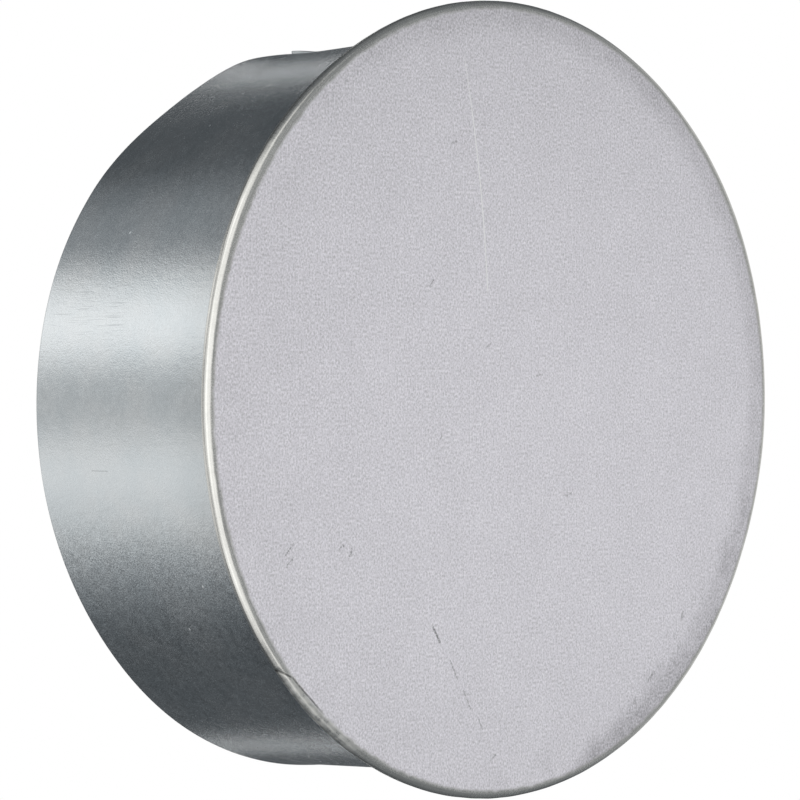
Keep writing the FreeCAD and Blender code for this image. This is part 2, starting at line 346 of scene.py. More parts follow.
def collar_metal():
    """Satin galvanised sheet with a bluish cast, fine speckle and light handling marks."""
    material, graph = new_material("galvanised_collar")
    whole = graph.position()
    x, y, z = graph.split(whole)
    turn = graph.turn(x, z)
    broad = graph.signed_grain(whole, *BROAD_GRAIN)
    patch = graph.signed_grain(whole, *PATCH_GRAIN)
    grit = graph.signed_grain(whole, *GRIT_GRAIN)
    streak = graph.signed_grain(graph.stretch(whole, (2.2, 0.05, 2.2)), 1.0, 2.0, 0.5)

    # Painted light: the speckle and mottling in the colour are painted stronger outside the one band
    # where the wall reflects the bright lights, and strongest on the lower side, and the flecks of
    # the rubbed patch are painted lighter. This stands in for light that rough specks scatter where
    # the wall reflects dark. Their roughness and bump are the coating's own.
    bright_reflection_band = graph.sector(turn, 60.0, 72.0, 104.0, 118.0)
    dim = graph.math("SUBTRACT", 1.0, bright_reflection_band)
    lower_side = graph.sector(turn, 104.0, 116.0, 166.0, 178.0)
    rubbed = graph.sector(turn, 104.0, 116.0, 136.0, 158.0)
    fleck_and_glint = graph.product(graph.remap(graph.grain(whole, 3.6, 3.0, 0.7), 0.60, 0.72), rubbed)

    # Faint draw marks along the axis in one handled patch, and the dull cut of the free edge.
    draw = graph.grain(graph.stretch(whole, (6.0, 0.16, 6.0)), 1.0, 2.0, 0.5)
    draw_mark = graph.product(
        graph.remap(draw, 0.56, 0.68),
        graph.sector(turn, 70.0, 73.0, 79.0, 82.0),
        graph.remap(y, 22.0, 26.0),
        graph.remap(y, 44.5, 42.0),
    )
    cut_edge = graph.remap(y, FREE_EDGE - 0.5, FREE_EDGE - 0.15)

    # Single marks. Each one's place is an angle in degrees and a distance along the axis.
    girth = graph.math("MULTIPLY", turn, COLLAR_RADIUS)

    def mark(degrees, along, length, tilt, width):
        place = (math.radians(degrees) * COLLAR_RADIUS, along)
        return graph.stroke(girth, y, place, length, tilt, width)

    dark = mark(100.4, 30.0, 4.0, 90.0, 0.14)
    nick = mark(153.0, 36.2, 1.6, 60.0, 0.3)
    pale_line = mark(122.1, 42.0, 4.0, -54.0, 0.14)
    light = 0.0
    for degrees, along in LIGHT_DOTS:
        light = graph.math("MAXIMUM", light, mark(degrees, along, 0.2, 20.0, 0.2))

    shade = graph.total(
        1.0,
        graph.product(grit, 0.06),
        # Painted light: grit, mottling and flecks are made stronger or lighter where the wall
        # reflects dark.
        graph.product(grit, dim, 0.15),
        graph.product(grit, lower_side, 0.32),
        graph.product(fleck_and_glint, 0.12),
        graph.product(cut_edge, -0.16),
        graph.product(broad, 0.03),
        graph.product(patch, 0.025),
        graph.product(patch, dim, 0.04),
        graph.product(patch, lower_side, 0.06),
        graph.product(streak, 0.004),
        graph.product(draw_mark, -0.055),
        # Painted shade: the wall is darkened towards the disc, standing in for the dark back of the
        # rim that it reflects there.
        graph.remap(y, 3.0, 14.0, -0.10, 0.0),
        graph.product(graph.math("MAXIMUM", dark, nick), -0.24),
        graph.product(light, 0.5),
        graph.product(pale_line, 0.35),
    )
    zinc = graph.blend(graph.remap(broad, -1.0, 1.0), ZINC_DARK, ZINC_PALE)
    base = graph.tint(zinc, shade)
    roughness = graph.total(
        0.25,
        graph.product(grit, 0.02),
        graph.product(fleck_and_glint, 0.05),
        graph.product(patch, 0.015),
        graph.product(broad, 0.015),
        graph.product(light, 0.3),
        graph.product(draw_mark, 0.08),
    )
    height = graph.total(
        graph.product(grit, 0.50),
        graph.product(patch, 0.35),
        graph.product(fleck_and_glint, 0.40),
        graph.product(streak, 0.06),
    )
    metal_output(graph, base, 1.0, roughness, height, 1.0, 0.013 * MM)
    return material


# The crease of the knocked fold: angle in degrees and radius of its corners. Its straight
# parts are kept as pairs of ends, in millimetres round the rim and outwards.
KNOCK_LINE = ((129.3, 65.9), (131.7, 64.7), (136.5, 64.45), (141.0, 64.55))
KNOCK_ENDS = [Vector((math.radians(degrees) * RIM_RADIUS, radius)) for degrees, radius in KNOCK_LINE]
KNOCK_PARTS = list(zip(KNOCK_ENDS, KNOCK_ENDS[1:]))

# Dark nicks and short scratches of the face: x, z, length, tilt in degrees, width and strength.
FACE_MARKS = (
    (-18, 19, 1.3, 60, 0.25, 0.5),
    (-13, 42, 1.0, 20, 0.3, 0.35),
    (-5, 9, 1.0, 40, 0.3, 0.3),
    (7, 4, 1.2, 10, 0.3, 0.35),
    (-16, -6, 1.0, 70, 0.28, 0.3),
    (14, -16, 1.6, 15, 0.3, 0.35),
    (-49, -23, 2.4, 48, 0.2, 0.5),
    (-49, -25, 2.0, 45, 0.2, 0.45),
    (-38, -23, 0.9, 30, 0.25, 0.4),
    (-36, -24, 1.2, 60, 0.25, 0.4),
    (-17, -38, 2.8, 120, 0.3, 0.7),
    (-13, -44, 3.6, 118, 0.2, 0.45),
    (-10, -49, 3.2, 117, 0.2, 0.4),
    (-7, -53, 2.6, 115, 0.2, 0.35),
    (-4, -59, 1.4, 30, 0.3, 0.35),
    (43, -38, 1.4, 75, 0.4, 0.4),
    (35, -48, 1.8, 40, 0.5, 0.35),
)

# The long pale scratch of the face: the x and z of its lower end, its height, slope and bow.
SCRATCH_END = (-5.2, 17.7)
SCRATCH_HEIGHT = 39.0
SCRATCH_SLOPE = -0.059
SCRATCH_BOW = -0.00215

# Where the fine dark line runs round the fold, along the axis.
FOLD_LINE = -1.06


def disc_metal():
    """Matte face, burnished rim and plain zinc back of the pressed disc."""
    material, graph = new_material("galvanised_disc")
    whole = graph.position()
    x, y, z = graph.split(whole)
    turn = graph.turn(x, z)
    flat = graph.stretch(whole, (1.0, 0.0, 1.0))
    radius = graph.length(flat)
    fine = graph.signed_grain(whole, *FINE_GRAIN)
    broad = graph.signed_grain(whole, *BROAD_GRAIN)
    patch = graph.signed_grain(whole, *PATCH_GRAIN)
    pore = graph.signed_grain(graph.stretch(flat, (1.0, 1.0, 0.8)), 3.0, 2.5, 0.65, 0.18)
    wipe = graph.signed_grain(graph.stretch(flat, (1.1, 1.0, 0.28)), 1.0, 3.0, 0.6)

    # The outlines of the dark marks are broken up by noise.
    wobble = graph.remap(graph.grain(flat, 1.4, 2.0, 0.6), 0.0, 1.0, -0.45, 0.45, "LINEAR")
    warped_x = graph.math("ADD", x, wobble)
    warped_z = graph.math("ADD", z, graph.product(wobble, -0.8))
    dark = 0.0
    for mark_x, mark_z, length, tilt, width, strength in FACE_MARKS:
        one = graph.stroke(warped_x, warped_z, (mark_x, mark_z), length, tilt, width)
        dark = graph.math("MAXIMUM", dark, graph.product(one, strength))
    dark = graph.product(dark, graph.remap(graph.grain(flat, 3.0, 1.0, 0.5), 0.3, 0.55))

    # The pale scratch bows a little as it climbs the upper half, and grows fainter.
    climb = graph.math("SUBTRACT", z, SCRATCH_END[1])
    lean = graph.product(climb, SCRATCH_SLOPE)
    bow = graph.product(climb, climb, SCRATCH_BOW)
    line = graph.total(SCRATCH_END[0], lean, bow)
    aside = graph.math("ABSOLUTE", graph.math("SUBTRACT", x, line))
    breaks = graph.grain(graph.stretch(flat, (0.02, 1.0, 0.6)), 1.0, 2.0, 0.7)
    scratch = graph.product(
        graph.remap(aside, 0.19, 0.05),
        graph.remap(climb, -0.5, 1.0),
        graph.remap(climb, SCRATCH_HEIGHT, SCRATCH_HEIGHT - 2.0),
        graph.remap(breaks, 0.36, 0.5, 0.75, 1.0),
        graph.remap(climb, SCRATCH_HEIGHT - 1.0, 22.0, 0.6, 1.0),
    )

    # Grime gathers towards the rim, most of it low on the +X side.
    grime_noise = graph.grain(flat, 0.16, 4.0, 0.62)
    lower_corner = graph.remap(graph.dot(whole, (0.75, 0.0, -0.66)), 30.0, 62.0)
    grime = graph.product(
        graph.remap(radius, 56.0, 63.5),
        graph.remap(grime_noise, 0.46, 0.66),
        graph.remap(lower_corner, 0.0, 1.0, 0.3, 1.0),
    )

    # Smudges beside the rim, low on the +X side and high on the -X side, and a dirty pocket
    # low on the +X side.
    smudge_noise = graph.grain(graph.stretch(flat, (1.0, 1.0, 0.8)), 0.8, 5.0, 0.72)
    low_reach = graph.product(
        graph.remap(radius, 54.0, 59.0),
        graph.remap(graph.dot(whole, (0.72, 0.0, -0.69)), 53.0, 58.5),
    )
    high_reach = graph.product(
        graph.remap(radius, 60.5, 63.5),
        graph.remap(graph.dot(whole, (-0.56, 0.0, 0.83)), 60.0, 62.5),
    )
    smudge = graph.product(
        graph.remap(smudge_noise, 0.50, 0.68),
        graph.math("MAXIMUM", low_reach, high_reach),
        graph.remap(graph.grain(flat, 0.11, 2.0, 0.5), 0.44, 0.58, 0.3, 1.0),
    )
    pocket = graph.product(
        graph.remap(radius, 60.2, 62.6),
        graph.remap(graph.dot(whole, (0.51, 0.0, -0.86)), 60.0, 62.6),
    )

    # Masks: the burnished rim, and the unseen back of the sheet.
    ragged = graph.remap(graph.grain(flat, 0.5, 3.0, 0.6), 0.3, 0.7, -0.2, 0.2, "LINEAR")
    rim = graph.remap(graph.math("ADD", radius, ragged), 64.15, 64.95)
    back = graph.product(graph.remap(y, -1.55, -1.45), graph.remap(radius, 64.2, 63.8))

    # The crease where the fold was knocked is darkened.
    girth = graph.math("MULTIPLY", turn, RIM_RADIUS)
    crease = 0.0
    for first, second in KNOCK_PARTS:
        run = second - first
        tilt = math.degrees(math.atan2(run.y, run.x))
        one = graph.stroke(girth, radius, (first + second) / 2, run.length, tilt, 0.24)
        crease = graph.math("MAXIMUM", crease, one)
    crease = graph.product(
        crease,
        graph.remap(graph.grain(whole, 1.1, 2.0, 0.6), 0.3, 0.5, 0.5, 1.0),
        graph.remap(turn, math.radians(140.6), math.radians(137.0)),
    )

    # Fine lines run round the rolled rim, one of them dark. Beside the knock it is worn bright, and
    # a painted highlight runs along the back edge of the fold there.
    from_line = graph.math("ABSOLUTE", graph.math("SUBTRACT", y, FOLD_LINE))
    fold_line = graph.product(graph.remap(from_line, 0.16, 0.03), graph.remap(radius, 65.3, 65.6))
    worn = graph.sector(turn, 128.0, 133.0, 144.0, 151.0)
    painted_edge_highlight = graph.product(graph.remap(y, -0.95, -0.75), worn)
    ring_place = graph.add("ShaderNodeCombineXYZ", {0: radius, 1: y, 2: graph.product(turn, 4.0)})
    stretched = graph.stretch(ring_place.outputs[0], (4.5, 4.5, 1.5))
    brushed = graph.signed_grain(stretched, 1.0, 3.0, 0.6)

    # Painted shade: the face is darkened a little away from a point below its middle, standing in
    # for the fall of the light across it, and darkened beside the rim as a painted shadow, towards
    # the top on the +X side and low on the +X side.
    shifted = graph.add("ShaderNodeVectorMath", {0: flat, 1: (-10.0, 0.0, 16.0)}, operation="ADD")
    away = graph.length(graph.stretch(shifted.outputs["Vector"], (0.7, 1.0, 1.0)))
    painted_falloff = graph.remap(away, 0.0, 85.0, 0.0, 1.0, "LINEAR")
    painted_falloff = graph.product(painted_falloff, painted_falloff)
    upper_side = graph.remap(graph.dot(whole, (0.75, 0.0, 0.66)), -15.0, 45.0)
    lower_side = graph.remap(graph.dot(whole, (0.80, 0.0, -0.60)), 46.0, 55.0)
    painted_rim_shadow = graph.math(
        "MAXIMUM",
        graph.product(graph.remap(radius, 59.0, 64.0), upper_side),
        graph.product(graph.remap(radius, 58.5, 62.5), lower_side, 1.1),
    )
    face_shade = graph.total(
        1.0,
        graph.product(pore, 0.255),
        graph.product(wipe, 0.035),
        graph.product(broad, 0.02),
        graph.product(painted_falloff, -0.15),
        graph.product(painted_rim_shadow, -0.13),
        graph.product(dark, -0.95),
        graph.product(grime, -0.12),
        graph.product(smudge, -0.27),
        graph.product(pocket, -0.10),
    )
    face_colour = graph.tint(FACE_COLOUR, face_shade)
    face_colour = graph.blend(graph.product(scratch, 0.9), face_colour, SCRATCH_COLOUR)
    rim_shade = graph.total(
        1.0,
        graph.product(fine, 0.05),
        graph.product(patch, 0.04),
        graph.product(brushed, 0.10),
        graph.product(fold_line, -0.22),
        graph.product(painted_edge_highlight, 0.5),
        graph.product(worn, 0.12),
    )
    rim_colour = graph.tint(RIM_COLOUR, rim_shade)
    back_shade = graph.total(1.0, graph.product(fine, 0.04), graph.product(broad, 0.05))
    back_colour = graph.tint(BACK_COLOUR, back_shade)
    base = graph.blend(rim, face_colour, rim_colour)
    base = graph.blend(back, base, back_colour)
    base = graph.tint(base, graph.math("MULTIPLY_ADD", crease, -0.68, 1.0))

    face_rough = graph.total(0.52, graph.product(pore, 0.05), graph.product(grime, 0.08))
    rim_rough = graph.total(
        0.25,
        graph.product(fine, 0.04),
        graph.product(brushed, 0.05),
        graph.product(worn, graph.remap(patch, -1.0, 1.0), 0.25),
    )
    roughness = graph.remap(rim, 0.0, 1.0, face_rough, rim_rough, "LINEAR")
    bare = graph.math("MAXIMUM", rim, back)
    metallic = graph.remap(bare, 0.0, 1.0, 0.4, 1.0, "LINEAR")
    height = graph.total(
        graph.product(pore, graph.remap(rim, 0.0, 1.0, 1.0, 0.3)),
        graph.product(patch, 0.4),
        graph.product(dark, -1.5),
        graph.product(scratch, -1.0),
    )
    metal_output(graph, base, metallic, roughness, height, 0.3, 0.02 * MM)
    return material


def weld_metal():
    """Pressed, heat-dulled metal of the spot welds."""
    material, graph = new_material("spot_weld")
    whole = graph.position()
    fine = graph.signed_grain(whole, *FINE_GRAIN)
    patch = graph.signed_grain(whole, *PATCH_GRAIN)
    heat = graph.remap(graph.grain(whole, 0.9, 3.0, 0.6), 0.35, 0.65)
    colour = graph.blend(heat, WELD_COLOUR, HEATED_COLOUR)
    base = graph.tint(colour, graph.total(1.0, graph.product(fine, 0.08)))
    roughness = graph.total(0.42, graph.product(fine, 0.05), graph.product(patch, 0.06))
    height = graph.total(fine, graph.product(patch, 0.6))
    metal_output(graph, base, 1.0, roughness, height, 0.5, 0.03 * MM)
    return material


# ---------------------------------------------------------------- disc

# How far the rim is out of round: start, middle and end of each hump in degrees, and its size.
RIM_HUMPS = (
    (30.0, 60.0, 88.0, 0.5),
    (92.0, 112.0, 134.0, 0.14),
    (220.0, 245.0, 268.0, -0.18),
    (272.0, 302.0, 330.0, 0.28),
)


def disc_profile():
    """(radius, along, fold angle or None) from the front's middle round the fold to the back's."""
    face = FRONT + FACE_SINK
    centre = RIM_RADIUS - FOLD_SIZE
    slope = math.radians(ROLL_SLOPE)
    roll_end = centre + FOLD_SIZE * math.sin(slope)
    bend = math.tan(slope) / (2.0 * (roll_end - ROLL_START))
    roll_drop = bend * (roll_end - ROLL_START) ** 2
    points = []
    for radius in spaced(0.0, 60.0, 2.0) + spaced(60.0, ROLL_START, 0.4):
        points.append((radius, face, None))
    for radius in spaced(ROLL_START, roll_end, 0.12):
        points.append((radius, face + bend * (radius - ROLL_START) ** 2, None))
    fold_count = 40
    centre_along = face + roll_drop + FOLD_SIZE * math.cos(slope)
    fold = arc(centre, centre_along, FOLD_SIZE, ROLL_SLOPE, 180.0, fold_count)
    for i, (radius, along) in enumerate(fold):
        turn = ROLL_SLOPE + (180.0 - ROLL_SLOPE) * i / fold_count
        points.append((radius, min(along, FRONT + 2 * FOLD_RADIUS), turn))
    lip_back = FRONT + 2 * FOLD_RADIUS
    lip_front = lip_back - GAUGE
    lip_middle = 64.2
    for radius, along in (
        (lip_middle, lip_back),
        (LIP_RADIUS + 0.2, lip_back),
        (LIP_RADIUS + 0.05, lip_back - 0.04),
        (LIP_RADIUS, lip_back - 0.16),
        (LIP_RADIUS, lip_front + 0.08),
        (LIP_RADIUS + 0.08, lip_front),
        (lip_middle, lip_front),
    ):
        points.append((radius, along, None))
    inner = FOLD_RADIUS - GAUGE
    for radius, along in reversed(arc(FOLD_CENTRE, FRONT + FOLD_RADIUS, inner, 0.0, 180.0, 10)):
        points.append((radius, along, None))
    for radius in spaced(64.0, 56.0, 1.0) + spaced(56.0, 0.0, 4.0):
        points.append((radius, DISC_BACK, None))
    points.append((0.0, DISC_BACK, None))
    return points


def knock_depth(angle, radius):
    """How far the creased line of the knocked fold is pushed in, in millimetres."""
    here = Vector((angle * RIM_RADIUS, radius))
    distances = []
    for first, second in KNOCK_PARTS:
        run = second - first
        share = min(1.0, max(0.0, (here - first).dot(run) / run.length_squared))
        distances.append((here - first - run * share).length)
    depth = KNOCK_DEPTH * math.exp(-((min(distances) / KNOCK_WIDTH) ** 2))
    return depth * smoothstep(math.radians(141.0), math.radians(133.0), angle)


def disc_point(radius, along, turn, angle):
    """A point of the disc with the small unevenness of a pressed and handled sheet."""
    point_radius, point_along = radius, along
    if turn is None and radius < 65.3 and along < DISC_BACK - 0.1:
        # The face waves, and is a little uneven where it starts to roll off.
        place = around(radius, angle, 0.0)
        wave = 0.5 + 0.5 * noise.noise(place * 0.045)
        point_along += 0.05 * wave * smoothstep(63.0, 50.0, radius)
        groove = smoothstep(64.1, 64.9, radius) * smoothstep(65.29, 65.1, radius)
        point_along += 0.02 * groove * ring_noise(angle, 34.0, 1.0)
        point_along += knock_depth(angle, radius)
    if turn is not None:
        # The fold has shallow dents, the knock and one groove along its middle.
        dent = 0.05 + 0.05 * ring_noise(angle, 5.0, 6.0) + 0.035 * ring_noise(angle, 26.0, 7.0)
        dent *= math.sin(math.radians(max(0.0, min(180.0, turn))))
        dent += knock_depth(angle, radius) * smoothstep(140.0, 90.0, turn)
        dent += 0.03 * math.exp(-(((turn - 90.0) / 7.0) ** 2))
        outward = math.radians(turn)
        point_radius -= dent * math.sin(outward)
        point_along += dent * math.cos(outward)
        point_radius = min(point_radius, RIM_RADIUS)
    outer_share = smoothstep(56.0, 64.0, radius)
    for start, middle, end, size in RIM_HUMPS:
        point_radius += size * hump(start, middle, end, math.degrees(angle)) * outer_share
    return around(point_radius, angle, point_along)


def build_disc(material):
    """The pressed disc, with a finer mesh at the knock and high on the -X side."""
    profile = disc_profile()
    angles = angle_steps(0.9, [(122.0, 152.0, 0.12), (20.0, 60.0, 0.45)])
    points = []
    for radius, along, turn in profile[1:-1]:
        for angle in angles:
            points.append(disc_point(radius, along, turn, angle))
    ring = len(angles)
    rows = len(profile) - 2
    faces = ring_faces(rows, ring, False)
    points.append(disc_point(0.0, profile[0][1], None, 0.0))
    points.append(Vector((0.0, DISC_BACK, 0.0)))
    front_middle, back_middle = len(points) - 2, len(points) - 1
    last = (rows - 1) * ring
    for i in range(ring):
        j = (i + 1) % ring
        faces.append((front_middle, i, j))
        faces.append((back_middle, last + j, last + i))
    return finish_mesh("galvanised_end_disc", points, faces, material)


# ---------------------------------------------------------------- collar


def lap_place(angle):
    """Millimetres round the wall from the middle of the lap, positive towards +X."""
    turn = angle if angle < math.pi else angle - 2 * math.pi
    return -turn * COLLAR_RADIUS


def weld_dip(across, along):
    """Depth of the pressed hollow round each spot weld."""
    depth = 0.0
    for middle in WELD_PLACES:
        reach = math.hypot(across, along - middle)
        depth += WELD_DIMPLE * smoothstep(WELD_RADIUS + 0.7, WELD_RADIUS - 0.1, reach)
    return depth


def wall_radii(angle, along):
    """Outer and inner radius of the rolled wall there, without the lap's outer layer."""
    across = lap_place(angle)
    if abs(across) > LAP_HALF + JOGGLE + 0.1:
        return COLLAR_RADIUS, COLLAR_RADIUS - GAUGE
    past_neck = smoothstep(NECK_END - 0.2, NOTCH_END, along)
    if across >= INNER_LAYER_END:
        rise = OUTER_LAYER_TOP - COLLAR_RADIUS
        shift = rise * smoothstep(LAP_HALF + JOGGLE, INNER_LAYER_END, across)
        outer = COLLAR_RADIUS + shift * past_neck
        return outer, outer - GAUGE
    drop = COLLAR_RADIUS - INNER_LAYER_TOP
    shift = drop * smoothstep(-LAP_HALF - JOGGLE, -LAP_HALF, across)
    outer = COLLAR_RADIUS - shift * past_neck
    dip = weld_dip(across, along)
    return outer - dip * 0.3, outer - GAUGE + dip


# How far the free edge is out of round, in the same form as the rim's humps.
FREE_EDGE_HUMPS = (
    (-22.0, 0.0, 22.0, 0.35),
    (6.0, 16.0, 27.0, 0.25),
    (14.0, 34.0, 54.0, -0.95),
    (-54.0, -34.0, -14.0, -0.5),
    (46.0, 68.0, 98.0, 0.4),
    (84.0, 128.0, 162.0, -0.55),
    (154.0, 180.0, 206.0, 0.4),
)


def settle(point, along):
    """Moves a collar point to where the strip really sits: low at its free edge, out of round."""
    share = max(0.0, along) / FREE_EDGE
    angle = math.atan2(-point.x, point.z)
    degrees = math.degrees(angle)
    swell = 0.05 * ring_noise(angle, 2.2, 11.0)
    for start, middle, end, size in FREE_EDGE_HUMPS:
        swell += size * hump(start, middle, end, degrees if start < 90.0 else degrees % 360.0)
    # Between the disc and the free edge the wall sinks towards the axis in three places:
    # along the lap, on the shoulder beside it, and opposite them, where that raises the foot.
    past_disc = smoothstep(3.0, 20.0, along)
    before_edge = smoothstep(FREE_EDGE, 38.0, along)
    crest = CREST_SINK * hump(-18.0, 0.0, 18.0, degrees) * (0.35 + 0.65 * before_edge)
    shoulder = SHOULDER_SINK * hump(4.0, 14.0, 30.0, degrees) * smoothstep(43.0, 33.0, along)
    foot = FOOT_RISE * hump(146.0, 180.0, 214.0, degrees % 360.0) * before_edge
    sunk = past_disc * (crest + shoulder + foot)
    grown = 1.0 + (share * swell - sunk) / math.hypot(point.x, point.z)
    return Vector((point.x * grown, point.y, point.z * grown - COLLAR_DROP * share))


def collar_profile():
    """(side, radius, along) round the collar's section. Side 0 is the bend and flange, with a full
    radius. Sides 1 and -1 are the wall's outside and inside, with a radius counted from it."""
    edge = FREE_EDGE
    rows = [0.6, 1.6, 3.0, NECK_END - 0.2, NECK_END, NECK_END + 0.2, NECK_END + 0.4]
    rows += [NOTCH_END, NOTCH_END + 0.4] + spaced(6.2, edge - 0.5, 0.85) + [edge - 0.5, edge - 0.22]
    outside = [(1, 0.0, value) for value in rows]
    rounded = [(1, -0.015, edge - 0.12), (1, -0.06, edge - 0.04), (1, -0.14, edge)]
    rounded += [(-1, 0.06, edge), (-1, 0.0, edge - 0.06)]
    inside = [(-1, 0.0, value) for value in reversed(rows)]
    inner_bend = arc(BEND_CENTRE, BEND_START, GAUGE, 0.0, -90.0, 8)
    outer_bend = arc(BEND_CENTRE, BEND_START, 2 * GAUGE, -90.0, 0.0, 10)
    flange_middle = 64.0
    flange_front = [(flange_middle, DISC_BACK), (FLANGE_RADIUS - 0.08, DISC_BACK)]
    tip = [(FLANGE_RADIUS, DISC_BACK + 0.08), (FLANGE_RADIUS, DISC_BACK + GAUGE - 0.08)]
    flange_back = [(FLANGE_RADIUS - 0.08, DISC_BACK + GAUGE), (flange_middle, DISC_BACK + GAUGE)]
    flange = outer_bend + flange_front + tip + flange_back + inner_bend
    return [(0, radius, along) for radius, along in flange] + outside + rounded + inside


def build_collar(material):
    """The rolled wall with its flange, and the outer layer of its lap."""
    profile = collar_profile()
    jump = math.degrees(INNER_LAYER_END / COLLAR_RADIUS)
    angles = angle_steps(
        1.0,
        [
            (0.0, 8.0, 0.25),
            (352.0, 360.0, 0.25),
            (360.0 - jump - 0.02, 360.0 - jump + 0.02, 0.02),
        ],
    )
    points = []
    for side, radius, along in profile:
        for angle in angles:
            if side == 0:
                point = around(radius, angle, along)
            else:
                outer, inner = wall_radii(angle, along)
                point = around((outer if side > 0 else inner) + radius, angle, along)
            points.append(settle(point, along))
    faces = ring_faces(len(profile), len(angles), True)

    # The lap's outer layer: a curved plate that leaves a sprung corner at the free edge.
    first = len(points)
    columns = [-LAP_HALF, -LAP_HALF + 0.05] + spaced(-5.7, INNER_LAYER_END, 0.3) + [INNER_LAYER_END]
    rows = [NOTCH_END, NOTCH_END + 0.08] + spaced(5.6, FREE_EDGE - 0.3, 0.6)
    rows += [FREE_EDGE - 0.3, FREE_EDGE - 0.06, FREE_EDGE]
    for layer in (1, 0):
        for row, along in enumerate(rows):
            for column, across in enumerate(columns):
                spring = smoothstep(FREE_EDGE - CORNER_LIFT_LENGTH, FREE_EDGE, along)
                spring *= smoothstep(3.0, -LAP_HALF, across)
                top = OUTER_LAYER_TOP + CORNER_LIFT * spring ** 1.5
                radius = top if layer else top - GAUGE
                if layer:
                    radius -= weld_dip(across, along)
                    on_edge = column == 0 or row in (0, len(rows) - 1)
                    radius -= 0.05 if on_edge else 0.0
                angle = -across / COLLAR_RADIUS
                points.append(settle(around(radius, angle, along), along))
    width, height = len(columns), len(rows)
    under = width * height

    def index(row, column):
        return first + row * width + column

    for row in range(height - 1):
        for column in range(width - 1):
            corners = (
                index(row, column),
                index(row, column + 1),
                index(row + 1, column + 1),
                index(row + 1, column),
            )
            faces.append(corners)
            faces.append(tuple(under + corner for corner in reversed(corners)))
    border = [index(0, column) for column in range(width - 1)]
    border += [index(row, width - 1) for row in range(height - 1)]
    border += [index(height - 1, column) for column in range(width - 1, 0, -1)]
    border += [index(row, 0) for row in range(height - 1, 0, -1)]
    for here, there in zip(border, border[1:] + border[:1]):
        faces.append((there, here, under + here, under + there))
    return finish_mesh("galvanised_collar", points, faces, material)


# ---------------------------------------------------------------- welds


def build_welds(material):
    """Three pressed nuggets with a hollow middle and a faint raised ring."""
    outside = ((0.5, -0.10), (1.1, -0.085), (1.7, -0.055), (2.1, -0.02), (2.35, 0.0), (2.47, -0.02))
    inside = ((2.47, 0.02), (2.35, 0.0), (2.1, 0.02), (1.7, 0.055), (1.1, 0.085), (0.5, 0.10))
    ring = 48
    points, faces = [], []
    for middle in WELD_PLACES:
        first = len(points)
        levels = [(size, WELD_TOP + step) for size, step in outside]
        levels.append((WELD_RADIUS, WELD_TOP - 0.1))
        levels.append((WELD_RADIUS, WELD_BOTTOM + 0.1))
        levels += [(size, WELD_BOTTOM + step) for size, step in inside]
        for size, radius in levels:
            for i in range(ring):
                turn = 2 * math.pi * i / ring
                across, along = size * math.cos(turn), middle + size * math.sin(turn)
                points.append(settle(around(radius, -across / COLLAR_RADIUS, along), along))
        for face in ring_faces(len(levels), ring, False):
            faces.append(tuple(first + i for i in face))
        for radius, level in ((WELD_TOP - 0.105, 0), (WELD_BOTTOM + 0.105, len(levels) - 1)):
            points.append(settle(around(radius, 0.0, middle), middle))
            centre = len(points) - 1
            start = first + level * ring
            for i in range(ring):
                j = (i + 1) % ring
                pair = (start + i, start + j) if level == 0 else (start + j, start + i)
                faces.append((centre, *pair))
    return finish_mesh("lap_weld_nuggets", points, faces, material)


# ---------------------------------------------------------------- assembly

disc = build_disc(disc_metal())
collar = build_collar(collar_metal())
welds = build_welds(weld_metal())
for piece, node, slot_name in (
    (disc, "end_disc", "disc_sheet"),
    (collar, "collar", "collar_sheet"),
    (welds, "lap_spot_welds", "weld_metal"),
):
    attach(piece, "root")
    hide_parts(node)


# ---------------------------------------------------------------- studio

# Each softbox: angle from the front towards -X, height angle, half width, half height,
# softness of its border (all in degrees) and brightness.
SOFTBOXES = (
    (31.0, 0.0, 44.0, 45.0, 6.0, 0.95),
    (95.0, 0.0, 22.0, 45.0, 8.0, 0.42),
    (80.0, 50.0, 33.0, 13.0, 7.0, 0.75),
    (80.0, -50.0, 33.0, 13.0, 7.0, 0.75),
    (-50.0, 0.0, 9.0, 9.0, 7.0, 0.10),
    (-94.0, 0.0, 24.0, 24.0, 8.0, 0.60),
    (-134.0, 0.0, 17.0, 8.0, 5.0, 0.72),
    (145.0, 17.4, 15.0, 8.4, 3.5, 0.92),
    (145.0, -18.6, 15.0, 10.2, 4.0, 0.60),
    (158.0, 34.0, 12.0, 4.0, 6.0, 0.36),
    (153.0, -32.0, 12.0, 5.0, 7.0, 0.30),
    (172.0, 0.0, 16.0, 22.0, 6.0, 0.36),
    (211.9, 27.4, 2.4, 2.0, 2.5, 1.90),
    (214.0, -29.3, 1.9, 1.8, 2.2, 1.80),
)
# Dim light between the softboxes: all round at the rear and at the front, and more of it
# near the horizon in front and on the -X side.
REAR_FILL = 0.10
FRONT_FILL = 0.22
LEVEL_FILL = 0.18
LEFT_FILL = 0.44
LEFT_DIRECTION = (-0.90, 0.44, 0.0)
FILL_COLOUR = (0.93, 1.0, 1.06, 1.0)
LAMP_COLOUR = (1.0, 0.995, 0.985, 1.0)


